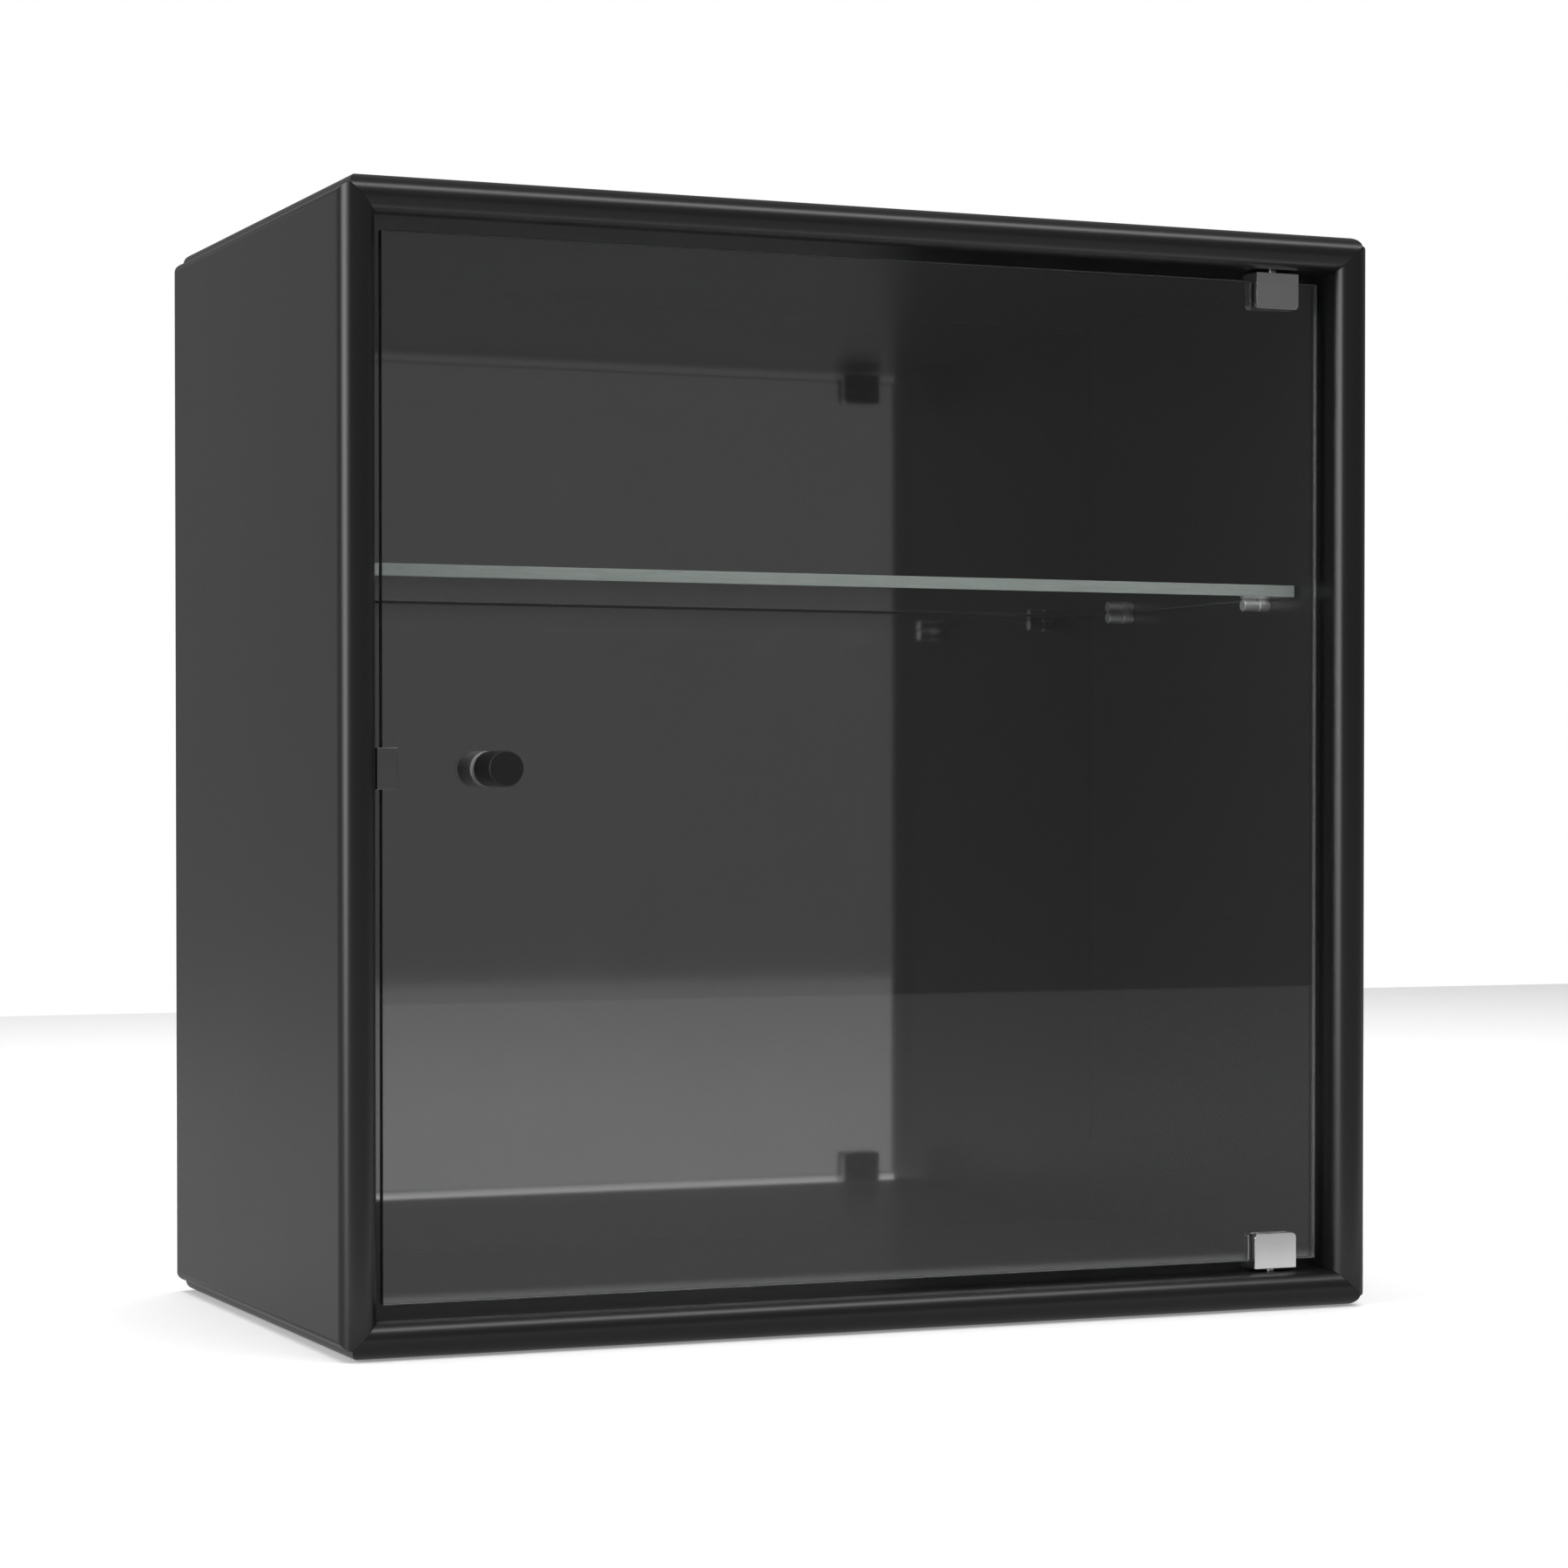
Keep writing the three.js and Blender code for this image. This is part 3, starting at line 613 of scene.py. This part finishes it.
panes = {
    "arris": 0.35 * mm,
    "arrisSteps": 2,
    "arrisAngle": 60,  # degrees
    "flat": 0.98,  # a face turned further than this from the pane's plane is edge
    "holeRoom": 0.15 * mm,
}


def glassPane(name, body, edgeLook, cutters=()):
    low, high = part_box(name)
    pane = addBlock(name + "Fine", low, high)
    combine(pane, *cutters)
    soften(pane, panes["arris"], panes["arrisSteps"], panes["arrisAngle"])
    smooth(pane, 25)
    dress(pane, body, "clear_glass", looks["glass"], looks[edgeLook])
    thin = min(range(3), key=lambda axis: (high - low)[axis])
    for face in pane.data.polygons:
        if abs(face.normal[thin]) < panes["flat"]:
            face.material_index = 1


sleeveLow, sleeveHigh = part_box("knob_sleeve")
knobLow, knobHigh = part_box("knob")
knobX, knobZ = (knobLow.x + knobHigh.x) / 2, (knobLow.z + knobHigh.z) / 2
glassHole = addRod(
    "hole",
    (knobX, sleeveLow.y - mm, knobZ),
    (knobX, sleeveHigh.y + mm, knobZ),
    (sleeveHigh.x - sleeveLow.x) / 2 + panes["holeRoom"],
)
glassPane("door_glass", "door", "doorEdge", [glassHole])
glassPane("glass_shelf", "cabinet", "shelfEdge")
print("glass made")

clampSizes = {
    "frontPlate": 2.3 * mm,
    "backPlate": 4.2 * mm,
    "web": 2.8 * mm,
    "freeRound": 2 * mm,
    "freeSteps": 8,
    "edgeRound": 0.35 * mm,
    "edgeSteps": 3,
    "edgeAngle": 40,
    "pinHole": 2.15 * mm,
    "pinDepth": 2.15 * mm,
    "screwHole": 2.15 * mm,
}


def hingeClamp(end, side):  # side is 1 for the upper hinge and -1 for the lower one
    sizes = clampSizes
    low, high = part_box(end + "_hinge_clamp")
    free, root = (low.z, high.z) if side > 0 else (high.z, low.z)
    clamp = addBlock(end + "_hinge_clampFine", low, high)
    bevelEdges(clamp, sizes["freeRound"], sizes["freeSteps"], lambda a, b: (
        abs(a.y - b.y) > mm and abs((a.z + b.z) / 2 - free) < near
    ))
    slotFront, slotBack = low.y + sizes["frontPlate"], high.y - sizes["backPlate"]
    slotEnds = sorted((root - side * sizes["web"], free - side * mm))
    slot = addBlock("slot", (low.x - mm, slotFront, slotEnds[0]), (high.x + mm, slotBack, slotEnds[1]))
    pinLow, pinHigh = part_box(end + "_pivot_pin")
    x, y = (pinLow.x + pinHigh.x) / 2, (pinLow.y + pinHigh.y) / 2
    holeStart, holeEnd = root + side * mm, root - side * sizes["pinDepth"]
    combine(clamp, slot, addRod("hole", (x, y, holeStart), (x, y, holeEnd), sizes["pinHole"]))
    for hand in ("left", "right"):
        screwLow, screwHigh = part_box(f"{end}_clamp_screw_{hand}")
        x, z = (screwLow.x + screwHigh.x) / 2, (screwLow.z + screwHigh.z) / 2
        combine(clamp, addRod("hole", (x, slotBack - mm, z), (x, high.y + mm, z), sizes["screwHole"], 48))
    soften(clamp, sizes["edgeRound"], sizes["edgeSteps"], sizes["edgeAngle"])
    smooth(clamp)
    dress(clamp, "door", "satin_nickel", looks["nickel"])


grubSizes = {"cone": 0.6 * mm, "rearChamfer": 0.3 * mm, "socketDepth": 1.6 * mm, "socket": 1.1 * mm}


def grubScrew(node):
    sizes = grubSizes
    low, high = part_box(node)
    x, z, radius = (low.x + high.x) / 2, (low.z + high.z) / 2, (high.z - low.z) / 2
    length = high.y - low.y
    screw = turnPiece(node + "Fine", (x, low.y, z), (0, 1, 0), [
        (0, radius - sizes["cone"]),
        (sizes["cone"], radius),
        (length - sizes["rearChamfer"], radius),
        (length, radius - sizes["rearChamfer"]),
    ], 48)
    floor = high.y - sizes["socketDepth"]
    combine(screw, addRod("socket", (x, floor, z), (x, high.y + mm, z), sizes["socket"], 6))
    smooth(screw)
    dress(screw, "door", "zinc_steel", looks["zinc"])


pivotSizes = {
    "rootRound": 0.25 * mm,
    "tipRound": 0.5 * mm,
    "tipShares": ((1, 0), (0.4, 0.35), (0, 1)),  # of the round: back from the tip, in from the side
}


def pivotPin(node, side):
    sizes = pivotSizes
    low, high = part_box(node)
    x, y, radius = (low.x + high.x) / 2, (low.y + high.y) / 2, (high.x - low.x) / 2
    length, tip = high.z - low.z, sizes["tipRound"]
    start = low.z if side > 0 else high.z
    profile = [(0, radius - sizes["rootRound"]), (sizes["rootRound"], radius)]
    profile += [(length - tip * back, radius - tip * inward) for back, inward in sizes["tipShares"]]
    pin = turnPiece(node + "Fine", (x, y, start), (0, 0, side), profile)
    smooth(pin)
    dress(pin, "door", "zinc_steel", looks["zinc"])


bushSizes = {"bore": 2.1 * mm, "chamferLength": 0.6 * mm, "chamferWidth": 0.5 * mm}


def pivotBush(node, side):
    sizes = bushSizes
    low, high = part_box(node)
    x, y, radius = (low.x + high.x) / 2, (low.y + high.y) / 2, (high.x - low.x) / 2
    mouth, floor = (low.z, high.z) if side > 0 else (high.z, low.z)
    length = abs(floor - mouth)
    bush = turnPiece(node + "Fine", (x, y, mouth), (0, 0, side), [
        (0, radius),
        (length - sizes["chamferLength"], radius),
        (length, radius - sizes["chamferWidth"]),
    ])
    combine(bush, addRod("bore", (x, y, mouth - side * mm), (x, y, floor - side * mm), sizes["bore"]))
    smooth(bush)
    dress(bush, "cabinet", "black_nylon", looks["nylon"])


for end, side in (("upper", 1), ("lower", -1)):
    hingeClamp(end, side)
    pivotPin(end + "_pivot_pin", side)
    pivotBush(end + "_pivot_bush", side)
    grubScrew(end + "_clamp_screw_left")
    grubScrew(end + "_clamp_screw_right")

knobSizes = {
    "rim": 0.6 * mm,
    "rimSteps": 4,
    "dishEdge": 0.8,  # share of the knob's radius
    "dish": 0.25 * mm,
    "dishFloor": 0.4,
    "dishStart": 0.05 * mm,
    "neckRound": 0.4 * mm,
    "bore": 2.15 * mm,
    "boreDepth": 10 * mm,
    "pitch": 0.7 * mm,
    "threadRoot": 0.86,  # share of the stud's radius
    "studChamfer": 0.4 * mm,
    "ringEdge": 0.15 * mm,
}


def knobHalf(node, slotName, look, way):  # way is -1 in front of the glass and 1 behind it
    sizes = knobSizes
    low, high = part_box(node)
    radius, length = (high.x - low.x) / 2, high.y - low.y
    base = high.y if way < 0 else low.y
    rim = sizes["rim"]
    profile = [(0, radius - sizes["neckRound"]), (sizes["neckRound"], radius)]
    for step in range(sizes["rimSteps"] + 1):
        angle = math.pi / 2 * step / sizes["rimSteps"]
        profile.append((length - rim + rim * math.sin(angle), radius - rim + rim * math.cos(angle)))
    profile += [
        (length - sizes["dishStart"], radius * sizes["dishEdge"]),
        (length - sizes["dish"], radius * sizes["dishFloor"]),
    ]
    piece = turnPiece(node + "Fine", (knobX, base, knobZ), (0, way, 0), profile, 96)
    boreStart, boreEnd = base - way * mm, base + way * sizes["boreDepth"]
    combine(piece, addRod("bore", (knobX, boreStart, knobZ), (knobX, boreEnd, knobZ), sizes["bore"]))
    smooth(piece, 40)
    dress(piece, "door", slotName, look)


def knobStud():
    sizes = knobSizes
    low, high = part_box("knob_stud")
    radius, length, chamfer = (high.x - low.x) / 2, high.y - low.y, sizes["studChamfer"]
    root, pitch = radius * sizes["threadRoot"], sizes["pitch"]
    profile = [(0, root - chamfer), (chamfer, root)]
    distance = chamfer + pitch
    while distance < length - 2 * chamfer - pitch:
        profile += [(distance, root), (distance + pitch / 2, radius)]
        distance += pitch
    profile += [(distance, root), (length - chamfer, root), (length, root - chamfer)]
    stud = turnPiece("knob_studFine", (knobX, low.y, knobZ), (0, 1, 0), profile, 32)
    smooth(stud)
    dress(stud, "door", "zinc_steel", looks["zinc"])


def knobRing(node):
    low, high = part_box(node)
    x, z, radius = (low.x + high.x) / 2, (low.z + high.z) / 2, (high.x - low.x) / 2
    length = high.y - low.y
    edge = min(knobSizes["ringEdge"], length / 3)
    ring = turnPiece(node + "Fine", (x, low.y, z), (0, 1, 0), [
        (0, radius - edge),
        (edge, radius),
        (length - edge, radius),
        (length, radius - edge),
    ])
    combine(ring, addRod("hole", (x, low.y - mm, z), (x, high.y + mm, z), knobSizes["bore"]))
    smooth(ring)
    dress(ring, "door", "black_nylon", looks["nylon"])


knobHalf("knob", "dark_metal", looks["anthracite"], -1)
knobHalf("inner_knob", "satin_nickel", looks["cap"], 1)
knobStud()
for node in ("knob_gasket", "inner_knob_gasket", "knob_sleeve"):
    knobRing(node)

clipSizes = {"glassRoom": 0.5 * mm, "edgeRound": 0.2 * mm, "edgeSteps": 3}


def strikeClip():
    low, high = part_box("strike_clip")
    glassLow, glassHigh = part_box("door_glass")
    room = clipSizes["glassRoom"]
    clip = addBlock("strike_clipFine", low, high)
    combine(clip, addBlock(
        "slot",
        (glassLow.x - room, glassLow.y - room, low.z - mm),
        (high.x + mm, glassHigh.y + room, high.z + mm),
    ))
    soften(clip, clipSizes["edgeRound"], clipSizes["edgeSteps"])
    smooth(clip)
    dress(clip, "door", "clip_steel", looks["clip"])


strikeClip()
print("door fittings made")

pinSizes = {
    "rootChamfer": 0.4 * mm,
    "ringAt": 4.8 * mm,  # from the side's inner face
    "ringWidth": 0.9 * mm,
    "ringDepth": 0.6 * mm,
    "ringLip": 0.15 * mm,
    "ringSlope": 0.1 * mm,
    "tipRound": 0.5 * mm,
    "tipShare": 0.3,
}


def shelfPin(node):
    sizes = pinSizes
    low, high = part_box(node)
    side = -1 if node.endswith("left") else 1
    centre, radius = (low + high) / 2, (high.z - low.z) / 2
    rootX = low.x if side < 0 else high.x
    length = high.x - low.x
    chamfer, lip, slope, tip = (sizes[key] for key in ("rootChamfer", "ringLip", "ringSlope", "tipRound"))
    ring = abs(rootX - side * carcase["sideInner"]) + sizes["ringAt"]
    ringEnd, ringFloor = ring + sizes["ringWidth"], radius - sizes["ringDepth"]
    pin = turnPiece(node + "Fine", (rootX, centre.y, centre.z), (-side, 0, 0), [
        (0, radius - chamfer),
        (chamfer, radius),
        (ring - lip, radius),
        (ring, radius - lip),
        (ring + slope, ringFloor),
        (ringEnd - slope, ringFloor),
        (ringEnd, radius - lip),
        (ringEnd + lip, radius),
        (length - tip, radius),
        (length - tip * sizes["tipShare"], radius - tip * sizes["tipShare"]),
        (length, radius - tip),
    ])
    smooth(pin)
    dress(pin, "cabinet", "satin_nickel", looks["pin"])


for node in sorted(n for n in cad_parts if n.startswith("shelf_pin")):
    shelfPin(node)


screwSizes = {
    "shank": 1.5 * mm,
    "pitch": 0.9 * mm,
    "threadRoot": 0.78,  # share of the shank's radius
    "neck": 0.8,
    "crestAt": 0.35,  # share of the pitch
    "rootAt": 0.7,
    "rimChamfer": 0.1 * mm,
    "rimStart": 0.15 * mm,
    "rimEnd": 0.3 * mm,
    "headDepth": 1.6 * mm,
    "threadStart": 2.2 * mm,
    "threadSpare": 2 * mm,
    "pointLength": 1.4 * mm,
    "point": 0.2 * mm,
    "socketDepth": 1.2 * mm,
    "socket": 1.1 * mm,
}


def woodScrew(node):
    sizes = screwSizes
    low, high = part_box(node)
    y, z, headRadius = (low.y + high.y) / 2, (low.z + high.z) / 2, (high.z - low.z) / 2
    side = 1 if "right" in node else -1  # which way the shank points
    headX = low.x if side > 0 else high.x
    length, shank, pitch = high.x - low.x, sizes["shank"], sizes["pitch"]
    root = shank * sizes["threadRoot"]
    profile = [
        (0, headRadius - sizes["rimChamfer"]),
        (sizes["rimStart"], headRadius),
        (sizes["rimEnd"], headRadius),
        (sizes["headDepth"], shank * sizes["neck"]),
    ]
    distance = sizes["threadStart"]
    while distance < length - sizes["threadSpare"]:  # thread rings
        crest, end = distance + pitch * sizes["crestAt"], distance + pitch * sizes["rootAt"]
        profile += [(distance, root), (crest, shank), (end, root)]
        distance += pitch
    profile += [(length - sizes["pointLength"], root), (length, sizes["point"])]
    screw = turnPiece(node + "Fine", (headX, y, z), (side, 0, 0), profile, 40)
    socketEnd = headX + side * sizes["socketDepth"]
    combine(screw, addRod("socket", (headX - side * mm, y, z), (socketEnd, y, z), sizes["socket"], 6))
    smooth(screw)
    dress(screw, "cabinet", "zinc_steel", looks["zinc"])


for node in sorted(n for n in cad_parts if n.startswith(("bracket_screw", "catch_screw"))):
    woodScrew(node)

bracketSizes = {
    "plate": 2 * mm,
    "bendRound": 1 * mm,
    "bendSteps": 5,
    "cornerRound": 3 * mm,
    "cornerSteps": 6,
    "keyhole": 4.5 * mm,
    "keyslot": 2.5 * mm,
    "rise": 9 * mm,
    "seatFlat": 1.3 * mm,  # this and the next two start 1 mm off the plate's inner face
    "seatEnd": 2.75 * mm,
    "boreEnd": 5 * mm,
    "edgeRound": 0.3 * mm,
    "edgeSteps": 2,
    "edgeAngle": 40,
}


def hangingBracket(hand, side):
    sizes = bracketSizes
    low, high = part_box("hanging_bracket_" + hand)
    wall, free = (high.x, low.x) if side > 0 else (low.x, high.x)
    inner = wall - side * sizes["plate"]
    bracket = addBlock(f"hanging_bracket_{hand}Fine", low, high)
    bevelEdges(bracket, sizes["bendRound"], sizes["bendSteps"], lambda a, b: (  # the bend's outer radius
        abs(a.z - b.z) > mm and abs(a.x - wall) < near and a.y > high.y - near
    ))
    bevelEdges(bracket, sizes["cornerRound"], sizes["cornerSteps"], lambda a, b: (  # the plate's free corners
        abs(a.y - b.y) > mm and abs(a.x - free) < near
    ))
    spare = sorted((free - side * mm, inner))
    front, rear = high.y - sizes["plate"], high.y + mm
    combine(bracket, addBlock("spare", (spare[0], low.y - mm, low.z - mm), (spare[1], front, high.z + mm)))
    front -= mm
    keyX, slot = (low.x + high.x) / 2, sizes["keyslot"]
    keyZ = (low.z + high.z) / 2 - sizes["rise"] / 2
    slotZ = keyZ + sizes["rise"]
    combine(
        bracket,
        addRod("keyhole", (keyX, front, keyZ), (keyX, rear, keyZ), sizes["keyhole"]),
        addRod("slotEnd", (keyX, front, slotZ), (keyX, rear, slotZ), slot, 48),
        addBlock("slot", (keyX - slot, front, keyZ), (keyX + slot, rear, slotZ)),
    )
    for level in ("upper", "lower"):
        screwLow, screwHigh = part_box(f"bracket_screw_{hand}_{level}")
        y, z = (screwLow.y + screwHigh.y) / 2, (screwLow.z + screwHigh.z) / 2
        combine(bracket, turnPiece("seat", (inner - side * mm, y, z), (side, 0, 0), [
            (0, screwHoles["head"]),
            (sizes["seatFlat"], screwHoles["head"]),
            (sizes["seatEnd"], screwHoles["shank"]),
            (sizes["boreEnd"], screwHoles["shank"]),
        ], 48))
    soften(bracket, sizes["edgeRound"], sizes["edgeSteps"], sizes["edgeAngle"])
    smooth(bracket)
    dress(bracket, "cabinet", "zinc_steel", looks["zinc"])


hangingBracket("left", -1)
hangingBracket("right", 1)

catchSizes = {"edgeRound": 0.8 * mm, "edgeSteps": 4, "pocketRoom": 0.15 * mm, "seatFloor": 3 * mm}


def catchBody():
    low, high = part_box("catch_body")
    room = Vector((catchSizes["pocketRoom"],) * 3)
    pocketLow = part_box("catch_pole_lower")[0] - room
    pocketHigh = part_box("catch_pole_upper")[1] + room
    pocketLow.y = low.y - mm
    body = addBlock("catch_bodyFine", low, high)
    soften(body, catchSizes["edgeRound"], catchSizes["edgeSteps"])
    combine(body, addBlock("pocket", pocketLow, pocketHigh))
    for node in ("catch_screw_upper", "catch_screw_lower"):
        screwLow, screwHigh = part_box(node)
        y, z = (screwLow.y + screwHigh.y) / 2, (screwLow.z + screwHigh.z) / 2
        seatX, outerX = low.x + catchSizes["seatFloor"], high.x + mm
        combine(
            body,
            addRod("hole", (low.x - mm, y, z), (outerX, y, z), screwHoles["shank"], 32),
            addRod("seat", (seatX, y, z), (outerX, y, z), screwHoles["head"], 40),
        )
    smooth(body)
    dress(body, "cabinet", "black_nylon", looks["nylon"])


catchBody()

kept = {  # CAD nodes whose shape is already right
    "plywood": [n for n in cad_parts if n.startswith("mitre_spline")],
    "zinc": ["catch_pole_upper", "catch_pole_lower"],
    "ferrite": ["catch_magnet"],
    "liner": ["strike_clip_liner", "upper_hinge_liner", "lower_hinge_liner"],
}
for look, nodes in kept.items():
    for node in nodes:
        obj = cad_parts[node]
        obj.data.materials.clear()
        obj.data.materials.append(looks[look])
print("catch, pins and brackets made")

stage = {
    "floorFront": -2.7,
    "floorBack": 2.4,
    "floorHalf": 2.6,
    "floorUnder": -0.02,
    "floorTop": -0.0005,
    "cloudSize": 3,
    "cloudShade": 0.01,
    "roughness": 0.8,
    "shade": 0.86,
    "glow": 0.25,
    "mirroredShade": 0.10,
    "mirroredGlow": 0.31,
    "paintedStripGlow": 1.2,  # painted light: a glowing strip that stands in for the lit floor close in front of the cabinet, seen in reflections and not straight on
    "stripAt": -0.235,
    "stripCore": 0.03,
    "stripReach": 0.07,
}


def seenDirectly(wire):  # 1 to the eye, straight or through clear glass, and 0 in reflections
    def path(output):
        return wire.node("LightPath", {}, {}, output)
    bounced = wire.maths("MINIMUM", path("Glossy Depth") + path("Diffuse Depth"), 1.0)
    return path("Is Camera Ray") + path("Is Transmission Ray") * (1 - bounced)


def floorSurface(wire):
    spot = place(wire)
    cloud = noise(wire, spot, stage["cloudSize"], detail=2)
    depthWise = wire.node("SeparateXYZ", {}, {0: spot}, 1)
    away = wire.node("Math", {"operation": "ABSOLUTE"}, {0: depthWise - stage["stripAt"]})
    paintedStrip = wire.node("MapRange", {"interpolation_type": "SMOOTHSTEP"}, {
        "Value": away, "From Min": stage["stripReach"], "From Max": stage["stripCore"],
    })

    def plain(shade, glow):
        spread = stage["cloudShade"]
        return wire.node("BsdfPrincipled", {}, {
            "Base Color": tint(wire, cloud, gray(shade - spread), gray(shade + spread)),
            "Roughness": stage["roughness"],
            "Emission Color": glow,
            "Emission Strength": 1.0,
        })
    # painted light: the strip where the floor glows in reflections, standing in for the lit floor
    paintedStripLight = tint(wire, paintedStrip, gray(stage["mirroredGlow"]), gray(stage["paintedStripGlow"]))
    mirrored = plain(stage["mirroredShade"], paintedStripLight)
    pale = plain(stage["shade"], (*gray(stage["glow"]), 1))
    return wire.node("MixShader", {}, {0: seenDirectly(wire), 1: mirrored, 2: pale})


floor = addBlock(
    "studioFloor",
    (-stage["floorHalf"], stage["floorFront"], stage["floorUnder"]),
    (stage["floorHalf"], stage["floorBack"], stage["floorTop"]),
)
floor.data.materials.append(material("paleFloor", floorSurface))

studio = {  # brightness all round, and where it blends from front to back
    "front": 0.175,
    "behind": 0.27,
    "seen": 1.0,
    "blendFrom": -0.4,
    "blendTo": 0.6,
}


def worldSurface(wire):
    direction = wire.node("TexCoord", {}, {}, "Generated")
    depthWise = wire.node("SeparateXYZ", {}, {0: direction}, 1)
    blend = wire.node("MapRange", {"interpolation_type": "SMOOTHSTEP"}, {
        "Value": depthWise, "From Min": studio["blendFrom"], "From Max": studio["blendTo"],
    })
    ambient = tint(wire, blend, gray(studio["front"]), gray(studio["behind"]))
    seen = (*gray(studio["seen"]), 1)
    colour = wire.node("Mix", {"data_type": "RGBA"}, {0: seenDirectly(wire), 6: ambient, 7: seen}, 2)
    return wire.node("Background", {}, {"Color": colour, "Strength": 1.0})


world = bpy.data.worlds.new("studio")
bpy.context.scene.world = world
world.use_nodes = True
world.node_tree.nodes.clear()
wire = Wire(world.node_tree)
wire.node("OutputWorld", {}, {"Surface": worldSurface(wire)})

softboxes = {
    "overhead": {"at": (0.3, -1.25, 1.85), "aim": (0.0, -0.1, 0.2), "size": (2.2, 0.5), "power": 19},
    "left": {"at": (-2.1, -0.55, 0.75), "aim": (0.0, 0.0, 0.22), "size": (1.0, 1.6), "power": 28},
    "floorFill": {"at": (0.2, 0.6, 2.3), "aim": (0.2, 0.4, 0.0), "size": (3.4, 2.6), "power": 66},
}
for name, box in softboxes.items():
    clearSelection()
    aim = (Vector(box["aim"]) - Vector(box["at"])).to_track_quat("-Z", "Y").to_euler()
    bpy.ops.object.light_add(type="AREA", location=box["at"], rotation=aim)
    lamp = bpy.context.object
    lamp.name = lamp.data.name = name + "Softbox"
    lamp.data.shape = "RECTANGLE"
    lamp.data.size, lamp.data.size_y = box["size"]
    lamp.data.energy = box["power"]
    lamp.visible_camera = False
    lamp.visible_glossy = name != "floorFill"

view = {
    "at": (-0.65762, -1.56495, 0.21078),
    "yaw": 0.4029,
    "pitch": -0.0168,
    "lens": 90.986,
    "sensor": 36,
    "lift": 0.05644,
}
clearSelection()
bpy.ops.object.camera_add(location=view["at"], rotation=(math.pi / 2 + view["pitch"], 0, -view["yaw"]))
camera = bpy.context.object
camera.name = "camera"
camera.data.lens = view["lens"]
camera.data.sensor_width = view["sensor"]
camera.data.shift_y = view["lift"]
bpy.context.scene.camera = camera
bpy.context.scene.view_settings.view_transform = "Standard"
print("stage, lights and camera made")
